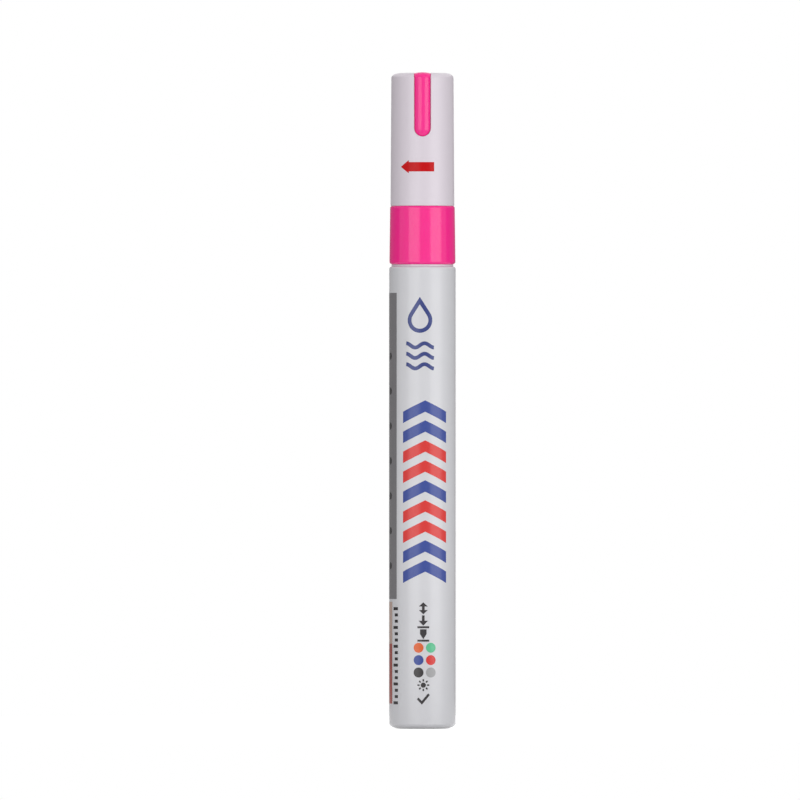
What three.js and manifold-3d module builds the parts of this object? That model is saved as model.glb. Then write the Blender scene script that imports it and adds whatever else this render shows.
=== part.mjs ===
// A touch-up paint pen: an aluminium barrel with a rattling ball, a spring valve behind a fibre nib,
// a coloured collar, and a push-on cap with a coloured tongue let into its side and crown.
// Millimetres, +Z up the pen, the tongue on the -Y side, the origin at the centre of the flat base.
import * as THREE from "three";
import { mergeVertices } from "three/addons/utils/BufferGeometryUtils.js";
import Module from "manifold-3d";

const wasm = await Module();
wasm.setup();

// Barrel: a drawn tube with a closed base, its mouth rolled in over the valve body
const barrelDiameter = 14;
const barrelLength = 97.3;
const barrelWall = 0.6;
const barrelBase = 1.2;
const heelRadius = 1.5;
const innerHeelRadius = 0.9;
const lipRadius = 0.6;
const lipReach = 0.3;
const lipDepth = 0.5;

// Mixing ball: rattles in the barrel
const ballDiameter = 6;

// Collar: a coloured sleeve with a slight draft, its foot a hair inside the barrel's side
const collarLength = 12.3;
const collarStep = 0.025;
const collarDraft = 0.16;
const collarTopRadius = 0.4;
const collarFootRadius = 0.6;

// Cap: a tapered shell, its mouth a hair inside the collar's top, with a liner and a coloured tongue
const capStep = 0.1;
const capDraft = 0.165;
const capWall = 0.915;
const capBoreDraft = 0.18;
const capCrown = 1.4;
const crownRadius = 1.05;
const capMouthChamfer = 0.2;
const capInnerChamfer = 0.3;
const tipRoom = 5.5;
const linerDisc = 0.9;
const linerWall = 0.9;
const linerLeadIn = 0.3;
const tongueWidth = 3.5;
const tongueLength = 13.4;
const tongueDepth = 0.5;
const tongueProud = 0.12;

// Valve body: a plug in the barrel, a flange on its mouth, a stem through the collar, and the cap's neck
const plugLength = 11.3;
const plugWall = 1.5;
const plugBoreDepth = 13;
const plugClearance = 0.12;
const plugLeadIn = 0.6;
const beadCount = 3;
const beadHeight = 0.09;
const beadWidth = 0.8;
const beadPitch = 2.2;
const firstBead = 2.6;
const flangeStep = 0.5;
const flangeThickness = 0.4;
const stemStep = 0.1;
const neckLength = 8;
const neckChamfer = 0.5;
const snapBeadHeight = 0.14;
const snapBeadWidth = 1.2;
const snapBeadRise = 2.4;
const snapClearance = 0.11;
const webThickness = 2;
const webClearance = 0.4;
const socketDepth = 6;

// Nib: a round fibre rod with a bullet point
const nibDiameter = 4.2;
const nibExposed = 4.8;
const nibPointLength = 3;
const nibBackChamfer = 0.5;
const nibTravel = 1.8;

// Nib holder: a snout pressed into the neck, with paint channels round the nib
const spigotWall = 1.7;
const spigotClearance = 0.2;
const shoulderStep = 0.35;
const shoulderHeight = 1.2;
const shoulderChamfer = 0.4;
const landWall = 1.45;
const landLength = 3;
const coneStep = 0.2;
const coneLength = 3.2;
const mouthWall = 0.7;
const mouthRadius = 0.25;
const channelCount = 6;
const channelWidth = 0.6;
const channelDepth = 0.3;

// Valve: a seat bush, a poppet rod, a coil spring and the cage that holds them
const rodDiameter = 2.4;
const rodClearance = 0.4;
const seatHeight = 4;
const seatConeDepth = 1;
const poppetMargin = 0.1;
const poppetRim = 0.75;
const poppetClearance = 0.5;
const guideDiameter = 2.2;
const guideTail = 0.3;
const guideChamfer = 0.4;
const guideClearance = 0.3;
const cageHeight = 12.7;
const cageWall = 0.85;
const cageFloor = 1.2;
const windowCount = 4;
const windowWidth = 2.2;
const windowHeight = 3.4;
const windowSill = 0.7;
const springWire = 0.5;
const springClearance = 0.5;
const springTurns = 8;
const springEndTurns = 1;

// Fits, each on the radius or along the pen
const pressGap = 0.05;
const runningGap = 0.15;
const seatGap = 0.1;
const faceGap = 0.3;

// Facets of a full turn, and of the quarter turn of a fillet or of a round point
const turnSides = 48;
const smallTurnSides = 32;
const ballSides = 24;
const filletSteps = 4;
const pointSteps = 6;
const springSides = 6;
const springStepsPerTurn = 10;

// How far a cutting tool reaches past what it cuts
const overshoot = 1;

// How near points must be to count as one, and how near the axis to count as on it
const weldDistance = 1e-4;
const axisTolerance = 1e-9;

// Radii, from the barrel inwards
const barrelRadius = barrelDiameter / 2;
const barrelBoreRadius = barrelRadius - barrelWall;
const lipBoreRadius = barrelBoreRadius - lipReach;
const plugRadius = barrelBoreRadius - plugClearance;
const collarFootRim = barrelRadius - collarStep;
const collarTopRim = collarFootRim - collarDraft;
const capMouthRim = collarTopRim - capStep;
const capCrownRim = capMouthRim - capDraft;
const capMouthBore = capMouthRim - capWall;
const capTopBore = capMouthBore - capBoreDraft;
const neckRadius = capMouthBore - snapClearance - snapBeadHeight;
const stemRadius = neckRadius + stemStep;

// Radii, from the nib and the valve outwards
const nibRadius = nibDiameter / 2;
const nibBoreRadius = nibRadius + runningGap;
const spigotRadius = nibBoreRadius + spigotWall;
const landRadius = nibBoreRadius + landWall;
const rodRadius = rodDiameter / 2;
const seatBoreRadius = rodRadius + rodClearance;
const poppetRadius = seatBoreRadius + seatConeDepth + poppetMargin;
const cageBoreRadius = poppetRadius + poppetClearance;
const cageRadius = cageBoreRadius + cageWall;
const chamberRadius = cageRadius + pressGap;

// Heights, from the base up
const plugFootZ = barrelLength - plugLength;
const collarFootZ = barrelLength + flangeThickness;
const collarTopZ = collarFootZ + collarLength;
const neckTopZ = collarTopZ + neckLength;
const shoulderTopZ = neckTopZ + shoulderHeight;
const landTopZ = shoulderTopZ + landLength;
const holderMouthZ = landTopZ + coneLength;
const nibTipZ = holderMouthZ + nibExposed;
const capCeilingZ = nibTipZ + tipRoom + linerDisc;
const capTopZ = capCeilingZ + capCrown;

// Heights, from the neck down to the cage
const webTopZ = neckTopZ - socketDepth;
const webFootZ = webTopZ - webThickness;
const nibBackZ = webFootZ + nibTravel + faceGap;
const seatFootZ = webFootZ - seatHeight;
const poppetRimTopZ = seatFootZ - poppetMargin - seatGap;
const poppetFootZ = poppetRimTopZ - poppetRim;
const cageFootZ = seatFootZ - cageHeight;
const cageFloorZ = cageFootZ + cageFloor;

// Materials
function finish(color, roughness, metalness = 0) {
  return new THREE.MeshStandardMaterial({ color, roughness, metalness });
}
const whiteEnamel = finish("#dcdce0", 0.32);
const whitePlastic = finish("#e6dde5", 0.38);
const naturalPlastic = finish("#e4e3da", 0.5);
const pinkPlastic = finish("#f23c8b", 0.25);
const fibre = finish("#efe9dc", 0.9);
const steel = finish("#b9bbbe", 0.25, 1);

// A quarter turn, or any other arc, as profile points of radius and height.
function arc(radius, height, size, from, to, steps = filletSteps) {
  return Array.from({ length: steps + 1 }, (_, i) => {
    const angle = THREE.MathUtils.degToRad(from + ((to - from) * i) / steps);
    return [onTheAxis(radius + size * Math.cos(angle)), height + size * Math.sin(angle)];
  });
}

// A radius that rounding left a hair off the axis, put exactly on it.
function onTheAxis(radius) {
  return Math.abs(radius) < axisTolerance ? 0 : radius;
}

// Turns a profile of [radius, height] points about +Z. The profile runs up the outside and down the
// inside, and it starts and ends on the axis or is closed on itself.
function turned(profile, sides = turnSides) {
  const onAxis = profile[0][0] === 0;
  const outline = onAxis ? profile : [...profile, profile[0]];
  const points = outline.map(([radius, height]) => new THREE.Vector2(radius, height));
  return new THREE.LatheGeometry(points, sides).rotateX(Math.PI / 2);
}

// A block that stands out along +X between two radii, for cutting slots.
function slotTool(innerRadius, outerRadius, width, bottomZ, topZ) {
  const block = new THREE.BoxGeometry(outerRadius - innerRadius, width, topZ - bottomZ);
  return block.translate((innerRadius + outerRadius) / 2, 0, (bottomZ + topZ) / 2);
}

// A closed geometry as a solid for joining and cutting, and back.
function solidOf(geometry) {
  const bare = geometry.index ? geometry.toNonIndexed() : geometry.clone();
  bare.deleteAttribute("normal");
  bare.deleteAttribute("uv");
  const merged = mergeVertices(bare, weldDistance);
  return new wasm.Manifold(
    new wasm.Mesh({
      numProp: 3,
      vertProperties: merged.attributes.position.array,
      triVerts: new Uint32Array(merged.index.array),
    }),
  );
}

function geometryOf(solid) {
  const mesh = solid.getMesh();
  const geometry = new THREE.BufferGeometry();
  const positions = new THREE.BufferAttribute(new Float32Array(mesh.vertProperties), 3);
  geometry.setAttribute("position", positions);
  geometry.setIndex(new THREE.BufferAttribute(new Uint32Array(mesh.triVerts), 1));
  geometry.computeVertexNormals();
  return geometry;
}

// Cuts the same tool from a geometry at even turns about +Z.
function cutRound(geometry, tool, count) {
  let solid = solidOf(geometry);
  for (let i = 0; i < count; i++) {
    solid = solid.subtract(solidOf(tool.clone().rotateZ((2 * Math.PI * i) / count)));
  }
  return geometryOf(solid);
}

function barrel() {
  return turned([
    [0, 0],
    ...arc(barrelRadius - heelRadius, heelRadius, heelRadius, -90, 0),
    ...arc(barrelRadius - lipRadius, barrelLength - lipRadius, lipRadius, 0, 90),
    [lipBoreRadius, barrelLength],
    [lipBoreRadius, barrelLength - lipDepth],
    [barrelBoreRadius, barrelLength - lipDepth - lipReach],
    ...arc(barrelBoreRadius - innerHeelRadius, barrelBase + innerHeelRadius, innerHeelRadius, 0, -90),
    [0, barrelBase],
  ]);
}

// The ball lies on the barrel's floor.
function mixingBall() {
  const ballRadius = ballDiameter / 2;
  return turned(arc(0, barrelBase + ballRadius, ballRadius, -90, 90, ballSides / 2), ballSides);
}

// A low bead round a straight side, as profile points from its foot up. Its flat top is a third of
// its width.
function bead(radius, height, width, z) {
  const [footHalf, topHalf] = [width / 2, width / 6];
  return [
    [radius, z - footHalf],
    [radius + height, z - topHalf],
    [radius + height, z + topHalf],
    [radius, z + footHalf],
  ];
}

// The plug carries sealing beads, its groove takes the barrel's rolled lip, and the neck has a snap bead.
function valveBody() {
  const plugBore = plugRadius - plugWall;
  const ledgeZ = plugFootZ + plugBoreDepth;
  const grooveRadius = lipBoreRadius - pressGap;
  const grooveFootZ = barrelLength - lipDepth - lipReach - pressGap;
  const flangeRim = barrelRadius - flangeStep;
  const beadHeights = Array.from({ length: beadCount }, (_, i) => plugFootZ + firstBead + i * beadPitch);
  return turned([
    [plugBore, plugFootZ],
    [plugRadius - plugLeadIn / 2, plugFootZ],
    [plugRadius, plugFootZ + plugLeadIn],
    ...beadHeights.flatMap((z) => bead(plugRadius, beadHeight, beadWidth, z)),
    [plugRadius, grooveFootZ - (plugRadius - grooveRadius)],
    [grooveRadius, grooveFootZ],
    [grooveRadius, barrelLength],
    [flangeRim, barrelLength],
    [flangeRim, collarFootZ],
    [stemRadius, collarFootZ],
    [stemRadius, collarTopZ],
    [neckRadius, collarTopZ],
    ...bead(neckRadius, snapBeadHeight, snapBeadWidth, collarTopZ + snapBeadRise),
    [neckRadius, neckTopZ - neckChamfer],
    [neckRadius - neckChamfer, neckTopZ],
    [spigotRadius + pressGap, neckTopZ],
    [spigotRadius + pressGap, webTopZ],
    [nibRadius + webClearance, webTopZ],
    [nibRadius + webClearance, webFootZ],
    [chamberRadius, webFootZ],
    [chamberRadius, ledgeZ],
    [plugBore, ledgeZ],
  ]);
}

function collar() {
  const boreRadius = stemRadius + pressGap;
  return turned([
    [boreRadius, collarFootZ],
    ...arc(collarFootRim - collarFootRadius, collarFootZ + collarFootRadius, collarFootRadius, -90, 0),
    ...arc(collarTopRim - collarTopRadius, collarTopZ - collarTopRadius, collarTopRadius, 0, 90),
    [boreRadius, collarTopZ],
  ]);
}

// The snout, with its paint channels cut the length of the nib bore.
function nibHolder() {
  const footZ = webTopZ + spigotClearance;
  const shoulderRim = neckRadius - neckChamfer - shoulderStep;
  const mouthRim = nibBoreRadius + mouthWall;
  const body = turned([
    [nibBoreRadius, footZ],
    [spigotRadius, footZ],
    [spigotRadius, neckTopZ],
    [shoulderRim, neckTopZ],
    [shoulderRim, shoulderTopZ - shoulderChamfer],
    [shoulderRim - shoulderChamfer, shoulderTopZ],
    [landRadius, shoulderTopZ],
    [landRadius, landTopZ],
    [landRadius - coneStep, landTopZ],
    ...arc(mouthRim - mouthRadius, holderMouthZ - mouthRadius, mouthRadius, 0, 90),
    [nibBoreRadius, holderMouthZ],
  ]);
  const channelRadius = nibBoreRadius + channelDepth;
  const channel = slotTool(0, channelRadius, channelWidth, footZ - overshoot, holderMouthZ + overshoot);
  return cutRound(body, channel, channelCount);
}

// The point is half an ellipse, so that it leaves the rod's side at a tangent.
function nib() {
  const pointFootZ = nibTipZ - nibPointLength;
  const stretch = nibPointLength / nibRadius;
  const point = arc(0, 0, nibRadius, 0, 90, pointSteps);
  return turned(
    [
      [0, nibBackZ],
      [nibRadius - nibBackChamfer, nibBackZ],
      [nibRadius, nibBackZ + nibBackChamfer],
      ...point.map(([radius, height]) => [radius, pointFootZ + height * stretch]),
    ],
    smallTurnSides,
  );
}

// A bush at the head of the chamber, its lower edge a cone for the poppet.
function valveSeat() {
  return turned(
    [
      [seatBoreRadius + seatConeDepth, seatFootZ],
      [cageRadius, seatFootZ],
      [cageRadius, webFootZ],
      [seatBoreRadius, webFootZ],
      [seatBoreRadius, seatFootZ + seatConeDepth],
    ],
    smallTurnSides,
  );
}

// The poppet's cone lies just off the seat's, parallel to it, and the nib rests on the rod's top.
function valveRod() {
  const guideRadius = guideDiameter / 2;
  const tailZ = cageFootZ - guideTail;
  return turned(
    [
      [0, tailZ],
      [guideRadius - guideChamfer, tailZ],
      [guideRadius, tailZ + guideChamfer],
      [guideRadius, poppetFootZ],
      [poppetRadius, poppetFootZ],
      [poppetRadius, poppetRimTopZ],
      [rodRadius, poppetRimTopZ + poppetRadius - rodRadius],
      [rodRadius, nibBackZ],
      [0, nibBackZ],
    ],
    smallTurnSides,
  );
}

// A cup pressed up against the seat, with a guide hole and with windows that let the paint in.
function springCage() {
  const holeRadius = guideDiameter / 2 + guideClearance;
  const cup = turned(
    [
      [holeRadius, cageFootZ],
      [cageRadius, cageFootZ],
      [cageRadius, seatFootZ],
      [cageBoreRadius, seatFootZ],
      [cageBoreRadius, cageFloorZ],
      [holeRadius, cageFloorZ],
    ],
    smallTurnSides,
  );
  const sillZ = cageFloorZ + windowSill;
  const window = slotTool(holeRadius, cageRadius + overshoot, windowWidth, sillZ, sillZ + windowHeight);
  return cutRound(cup, window, windowCount);
}

// The spring's centre line: one unbroken coil with its end turns close together.
class SpringLine extends THREE.Curve {
  getPoint(t, target = new THREE.Vector3()) {
    const coilRadius = guideDiameter / 2 + springClearance + springWire / 2;
    const turn = t * springTurns;
    const angle = 2 * Math.PI * turn;
    return target.set(coilRadius * Math.cos(angle), coilRadius * Math.sin(angle), this.heightAt(turn));
  }

  heightAt(turn) {
    const closePitch = springWire + seatGap;
    const footZ = cageFloorZ + springWire / 2 + pressGap;
    const headZ = poppetFootZ - springWire / 2 - pressGap;
    const openTurns = springTurns - 2 * springEndTurns;
    const openPitch = (headZ - footZ - 2 * springEndTurns * closePitch) / openTurns;
    const openTurn = THREE.MathUtils.clamp(turn - springEndTurns, 0, openTurns);
    return footZ + (turn - openTurn) * closePitch + openTurn * openPitch;
  }
}

function valveSpring() {
  const section = new THREE.Shape();
  for (let i = 0; i < springSides; i++) {
    const angle = (2 * Math.PI * i) / springSides;
    const [x, y] = [(springWire / 2) * Math.cos(angle), (springWire / 2) * Math.sin(angle)];
    if (i === 0) section.moveTo(x, y);
    else section.lineTo(x, y);
  }
  section.closePath();
  const steps = Math.round(springTurns * springStepsPerTurn);
  return new THREE.ExtrudeGeometry(section, { steps, extrudePath: new SpringLine() });
}

// The cap's outside, drawn in all over by an inset, as profile points from its mouth to the axis.
function capOutside(inset, mouthZ = collarTopZ) {
  return [
    [capMouthRim - inset, mouthZ],
    ...arc(capCrownRim - crownRadius, capTopZ - crownRadius, crownRadius - inset, 0, 90),
    [0, capTopZ - inset],
  ];
}

// What lies between two such insets, as a solid.
function capLayer(outerInset, innerInset) {
  const outer = turned([[0, collarTopZ], ...capOutside(outerInset)]);
  const coreFootZ = collarTopZ - overshoot;
  const core = turned([[0, coreFootZ], ...capOutside(innerInset, coreFootZ)]);
  return solidOf(outer).subtract(solidOf(core));
}

// The tongue's outline as a tool: down the -Y side to a round end, and over the crown to another.
function tongueTool(margin) {
  const half = tongueWidth / 2 + margin;
  const endZ = capTopZ - tongueLength + tongueWidth / 2;
  const aboveZ = capTopZ + overshoot;
  const outline = new THREE.Shape();
  outline.moveTo(-half, aboveZ);
  outline.lineTo(-half, endZ);
  outline.absarc(0, endZ, half, Math.PI, 2 * Math.PI, false);
  outline.lineTo(half, aboveZ);
  const sweep = { depth: barrelDiameter, bevelEnabled: false, curveSegments: pointSteps };
  const down = new THREE.ExtrudeGeometry(outline, sweep).rotateX(Math.PI / 2);
  const over = turned([[0, capCeilingZ], [half, capCeilingZ], [half, aboveZ], [0, aboveZ]], ballSides);
  return solidOf(down).add(solidOf(over));
}

// The shell, hollow from its mouth, with a shallow pocket for the tongue.
function capShell() {
  const shell = turned([
    [0, capCeilingZ],
    [capTopBore - capInnerChamfer, capCeilingZ],
    [capTopBore, capCeilingZ - capInnerChamfer],
    [capMouthBore, collarTopZ + capMouthChamfer],
    [capMouthBore + capMouthChamfer, collarTopZ],
    [capMouthRim - capMouthChamfer, collarTopZ],
    ...capOutside(0, collarTopZ + capMouthChamfer),
  ]);
  const pocket = capLayer(-overshoot, tongueDepth + pressGap).intersect(tongueTool(pressGap));
  return geometryOf(solidOf(shell).subtract(pocket));
}

function capTongue() {
  return geometryOf(capLayer(-tongueProud, tongueDepth).intersect(tongueTool(0)));
}

// A disc under the cap's ceiling, with a tube that seals on the nib holder's land.
function capLiner() {
  const discRadius = capTopBore - seatGap;
  const tubeBore = landRadius + pressGap;
  const tubeRadius = tubeBore + linerWall;
  const rimZ = shoulderTopZ + faceGap;
  const discFootZ = capCeilingZ - linerDisc;
  return turned([
    [0, discFootZ],
    [tubeBore, discFootZ],
    [tubeBore, rimZ + linerLeadIn],
    [tubeBore + linerLeadIn, rimZ],
    [tubeRadius, rimZ],
    [tubeRadius, discFootZ],
    [discRadius, discFootZ],
    [discRadius, capCeilingZ - capInnerChamfer],
    [discRadius - capInnerChamfer, capCeilingZ],
    [0, capCeilingZ],
  ]);
}

function part(name, geometry, material) {
  const mesh = new THREE.Mesh(geometry, material);
  mesh.name = name;
  return mesh;
}

function group(...children) {
  return new THREE.Group().add(...children);
}

const body = group(
  part("barrel", barrel(), whiteEnamel),
  part("collar_ring", collar(), pinkPlastic),
  part("valve_body", valveBody(), whitePlastic),
  part("nib_holder", nibHolder(), whitePlastic),
  part("valve_seat", valveSeat(), naturalPlastic),
  part("spring_cage", springCage(), naturalPlastic),
  part("valve_spring", valveSpring(), steel),
);
const plunger = group(part("nib", nib(), fibre), part("valve_rod", valveRod(), naturalPlastic));
const ball = group(part("mixing_ball", mixingBall(), steel));
const cap = group(
  part("cap_shell", capShell(), whitePlastic),
  part("cap_tongue", capTongue(), pinkPlastic),
  part("cap_liner", capLiner(), naturalPlastic),
);

export default group(body, plunger, ball, cap);
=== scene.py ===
import math

import bmesh
import bpy
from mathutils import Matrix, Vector


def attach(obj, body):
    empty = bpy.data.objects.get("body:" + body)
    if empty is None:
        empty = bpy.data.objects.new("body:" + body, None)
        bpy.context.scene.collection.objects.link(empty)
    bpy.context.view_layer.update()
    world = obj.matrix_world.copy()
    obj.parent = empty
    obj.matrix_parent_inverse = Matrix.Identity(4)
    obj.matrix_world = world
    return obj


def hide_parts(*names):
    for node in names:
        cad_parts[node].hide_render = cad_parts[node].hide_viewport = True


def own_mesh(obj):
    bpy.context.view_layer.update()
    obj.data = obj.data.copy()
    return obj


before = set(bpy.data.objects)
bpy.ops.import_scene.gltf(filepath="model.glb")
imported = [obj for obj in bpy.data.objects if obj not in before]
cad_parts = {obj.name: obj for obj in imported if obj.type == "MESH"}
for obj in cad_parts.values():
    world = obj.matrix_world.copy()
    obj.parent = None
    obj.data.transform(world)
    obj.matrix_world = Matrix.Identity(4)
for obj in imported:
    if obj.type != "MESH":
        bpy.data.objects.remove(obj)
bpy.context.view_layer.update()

# Barrel. The pen's body is one impact-extruded aluminium tube with a closed flat base. Its mouth is
# rolled in over the valve body. Outside it has a coat of white enamel, rolled on and baked, and
# inside it is bare metal, which the mixing ball strikes.
MM = 0.001
barrel_radius, barrel_length = 7.0, 97.3
barrel_bore, barrel_floor = 6.4, 1.2
base_flat, foot_rise = 4.4, 1.1
lip_bore, lip_depth, lip_cone_depth = 6.1, 0.5, 0.8
quarter_turn = [math.radians(5 * k) for k in range(19)]
on_axis = 1e-6


def rounded(corners, step=9):
    """The outline through (radius, height, fillet) corners in mm, with each corner rounded in steps
    of so many degrees."""
    outline = []
    for i, (radius, height, fillet) in enumerate(corners):
        here = Vector((radius, height))
        if not fillet:
            outline.append(here)
            continue
        back = (Vector(corners[i - 1][:2]) - here).normalized()
        onward = (Vector(corners[(i + 1) % len(corners)][:2]) - here).normalized()
        half = back.angle(onward) / 2
        centre = here + (back + onward).normalized() * fillet / math.sin(half)
        spoke = here + back * fillet / math.tan(half) - centre
        sweep = math.copysign(math.pi - 2 * half, onward.x * back.y - onward.y * back.x)
        steps = max(2, math.ceil(abs(math.degrees(sweep)) / step))
        for k in range(steps + 1):
            turn, (x, z) = sweep * k / steps, spoke
            turned_spoke = Vector((x * math.cos(turn) - z * math.sin(turn),
                                   x * math.sin(turn) + z * math.cos(turn)))
            outline.append(centre + turned_spoke)
    return outline


def piece_from(name, verts, faces):
    """A mesh object from points in mm."""
    mesh = bpy.data.meshes.new(name)
    mesh.from_pydata([[c * MM for c in v] for v in verts], [], faces)
    made = bpy.data.objects.new(name, mesh)
    bpy.context.scene.collection.objects.link(made)
    return made


def smoothed(piece, edge_angle=28):
    """Rounds the shading over gentle bends, with flat sides kept flat up to a fillet."""
    piece.data.shade_smooth()
    piece.data.set_sharp_from_angle(angle=math.radians(edge_angle))
    normals = piece.modifiers.new("even shading", "WEIGHTED_NORMAL")
    normals.keep_sharp = True
    return piece


def turned(name, outline, sides=160):
    """A solid of revolution about the pen's axis. The outline runs up the outside and down the
    inside, and it starts and ends on the axis or is closed on itself."""
    verts, rows = [], []
    for radius, height in outline:
        start = len(verts)
        if radius < on_axis:
            rows.append([start] * sides)
            verts.append((0, 0, height))
            continue
        rows.append(list(range(start, start + sides)))
        for i in range(sides):
            angle = 2 * math.pi * i / sides
            verts.append((radius * math.sin(angle), -radius * math.cos(angle), height))
    if outline[0][0] > on_axis:
        rows.append(rows[0])
    faces = []
    for low, high in zip(rows, rows[1:]):
        for i in range(sides):
            j = (i + 1) % sides
            faces.append(list(dict.fromkeys((low[i], low[j], high[j], high[i]))))
    return smoothed(piece_from(name, verts, faces))


def colour(code):
    """A linear colour from its sRGB hex code."""
    parts = [int(code[i:i + 2], 16) / 255 for i in (1, 3, 5)]
    return [c / 12.92 if c <= 0.04045 else ((c + 0.055) / 1.055) ** 2.4 for c in parts] + [1]


def add_node(tree, kind, settings=None, links=None):
    """Adds a node. Settings are its own properties or its sockets' values, and links say which
    node and output feed each socket."""
    node = tree.nodes.new(kind)
    for key, value in (settings or {}).items():
        if isinstance(key, int) or key in node.inputs:
            node.inputs[key].default_value = value
        else:
            setattr(node, key, value)
    for socket, (source, output) in (links or {}).items():
        tree.links.new(source.outputs[output], node.inputs[socket])
    return node


def empty_material(name):
    """A material with an empty node tree, and the tree."""
    material = bpy.data.materials.new(name)
    material.use_nodes = True
    material.node_tree.nodes.clear()
    return material, material.node_tree


# Baked enamel: gloss with a faint orange peel of 1.1 mm waves, so reflections have soft edges.
peel_wave, peel_depth, cloud_size = 1.1, 0.004, 4
enamel, tree = empty_material("baked_white_enamel")
place = add_node(tree, "ShaderNodeTexCoord")
peel = add_node(tree, "ShaderNodeTexNoise", {"Scale": 1 / (peel_wave * MM), "Detail": 1.0},
                {"Vector": (place, "Object")})
cloud = add_node(tree, "ShaderNodeTexNoise", {"Scale": 1 / (cloud_size * MM), "Detail": 6.0},
                 {"Vector": (place, "Object")})
tone = add_node(tree, "ShaderNodeMix",
                {"data_type": "RGBA", 6: colour("#d8d8dc"), 7: colour("#d4d4d8")},
                {0: (cloud, 0)})
gloss = add_node(tree, "ShaderNodeMapRange", {"To Min": 0.2, "To Max": 0.27},
                 {"Value": (cloud, 0)})
bump = add_node(tree, "ShaderNodeBump", {"Strength": 1.0, "Distance": peel_depth * MM},
                {"Height": (peel, 0)})
shader = add_node(tree, "ShaderNodeBsdfPrincipled", {"IOR": 1.5},
                  {"Base Color": (tone, 2), "Roughness": (gloss, 0), "Normal": (bump, 0)})
add_node(tree, "ShaderNodeOutputMaterial", {}, {"Surface": (shader, 0)})

# Drawn aluminium: pale metal with fine lines along the draw. The real lines are about 0.03 mm
# apart, too fine to show, so they are drawn 0.2 mm apart.
draw_width, draw_length, draw_depth = 0.2, 30, 0.01
aluminium, tree = empty_material("drawn_aluminium")
place = add_node(tree, "ShaderNodeTexCoord")
stretch = add_node(tree, "ShaderNodeMapping",
                   {"Scale": (1 / (draw_width * MM), 1 / (draw_width * MM),
                              1 / (draw_length * MM))},
                   {"Vector": (place, "Object")})
lines = add_node(tree, "ShaderNodeTexNoise", {"Scale": 1.0, "Detail": 2.0},
                 {"Vector": (stretch, 0)})
tone = add_node(tree, "ShaderNodeMix",
                {"data_type": "RGBA", 6: colour("#c9cbce"), 7: colour("#b7b9bd")},
                {0: (lines, 0)})
gloss = add_node(tree, "ShaderNodeMapRange", {"To Min": 0.28, "To Max": 0.42},
                 {"Value": (lines, 0)})
bump = add_node(tree, "ShaderNodeBump", {"Strength": 0.6, "Distance": draw_depth * MM},
                {"Height": (lines, 0)})
shader = add_node(tree, "ShaderNodeBsdfPrincipled", {"Metallic": 1.0},
                  {"Base Color": (tone, 2), "Roughness": (gloss, 0), "Normal": (bump, 0)})
add_node(tree, "ShaderNodeOutputMaterial", {}, {"Surface": (shader, 0)})

foot_corner = [(base_flat + (barrel_radius - base_flat) * math.sin(turn),
                foot_rise * (1 - math.cos(turn)), 0) for turn in quarter_turn]
barrel = turned("barrel_tube", rounded([
    (0, 0, 0),
    *foot_corner,
    (barrel_radius, barrel_length, 0.6),
    (lip_bore, barrel_length, 0.08),
    (lip_bore, barrel_length - lip_depth, 0.05),
    (barrel_bore, barrel_length - lip_cone_depth, 0.1),
    (barrel_bore, barrel_floor, 0.9),
    (0, barrel_floor, 0),
]))
barrel.data.materials.append(enamel)
barrel.data.materials.append(aluminium)
margin = 0.01
for face in barrel.data.polygons:
    across, height = face.center.xy.length / MM, face.center.z / MM
    face.material_index = int(across < barrel_bore + margin and height > barrel_floor - margin)
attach(barrel, "pen")
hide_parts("barrel")

# Printing on the front of the barrel: two navy pictograms, a paint drop and three waves. They are
# screen-printed in one colour on the baked enamel. Each is a closed film that stands a hair proud.
ink_rise, ink_sink = 0.02, 0.01
wrap_step = 1.4
weld_gap, slice_gap = 1e-4, 1e-5


def printed(name, shapes, ink, radius_at=lambda height: barrel_radius, body="pen", film=1):
    """Closed films of ink from flat shapes of (arc, height) in mm, wrapped round the pen. The arc
    is measured on the surface from the front line, and to the right. Film 2 lies on film 1."""
    flat = bmesh.new()
    for shape in shapes:
        area = sum(a[0] * b[1] - b[0] * a[1] for a, b in zip(shape, shape[1:] + shape[:1]))
        corners = shape if area > 0 else shape[::-1]
        flat.faces.new([flat.verts.new((arc, height, 0)) for arc, height in corners])
    bmesh.ops.remove_doubles(flat, verts=flat.verts, dist=weld_gap)
    bmesh.ops.triangulate(flat, faces=flat.faces)
    widest = radius_at(min(v.co.y for v in flat.verts))
    pitch = math.radians(wrap_step) * widest
    first = math.ceil(min(v.co.x for v in flat.verts) / pitch)
    last = math.floor(max(v.co.x for v in flat.verts) / pitch)
    for k in range(first, last + 1):
        bmesh.ops.bisect_plane(flat, geom=flat.verts[:] + flat.edges[:] + flat.faces[:],
                               dist=slice_gap, plane_co=(k * pitch, 0, 0), plane_no=(1, 0, 0))
    flat.verts.index_update()
    faces = [[v.index for v in face.verts] for face in flat.faces]
    rims = [(loop.vert.index, loop.link_loop_next.vert.index)
            for face in flat.faces for loop in face.loops if len(loop.edge.link_faces) == 1]
    verts, normals = [], []
    for lift, side in ((ink_rise * film, 1), (ink_rise * (film - 1) - ink_sink, -1)):
        for v in flat.verts:
            radius = radius_at(v.co.y)
            angle = v.co.x / radius
            outward = (math.sin(angle), -math.cos(angle), 0)
            verts.append([c * (radius + lift) for c in outward[:2]] + [v.co.y])
            normals.append([c * side for c in outward])
    count = len(flat.verts)
    flat.free()
    under = [[i + count for i in reversed(face)] for face in faces]
    walls = [[b, a, a + count, b + count] for a, b in rims]
    print_piece = piece_from(name, verts, faces + under + walls)
    print_piece.data.shade_smooth()
    print_piece.data.normals_split_custom_set_from_vertices(normals)
    print_piece.data.materials.append(ink)
    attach(print_piece, body)


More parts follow.
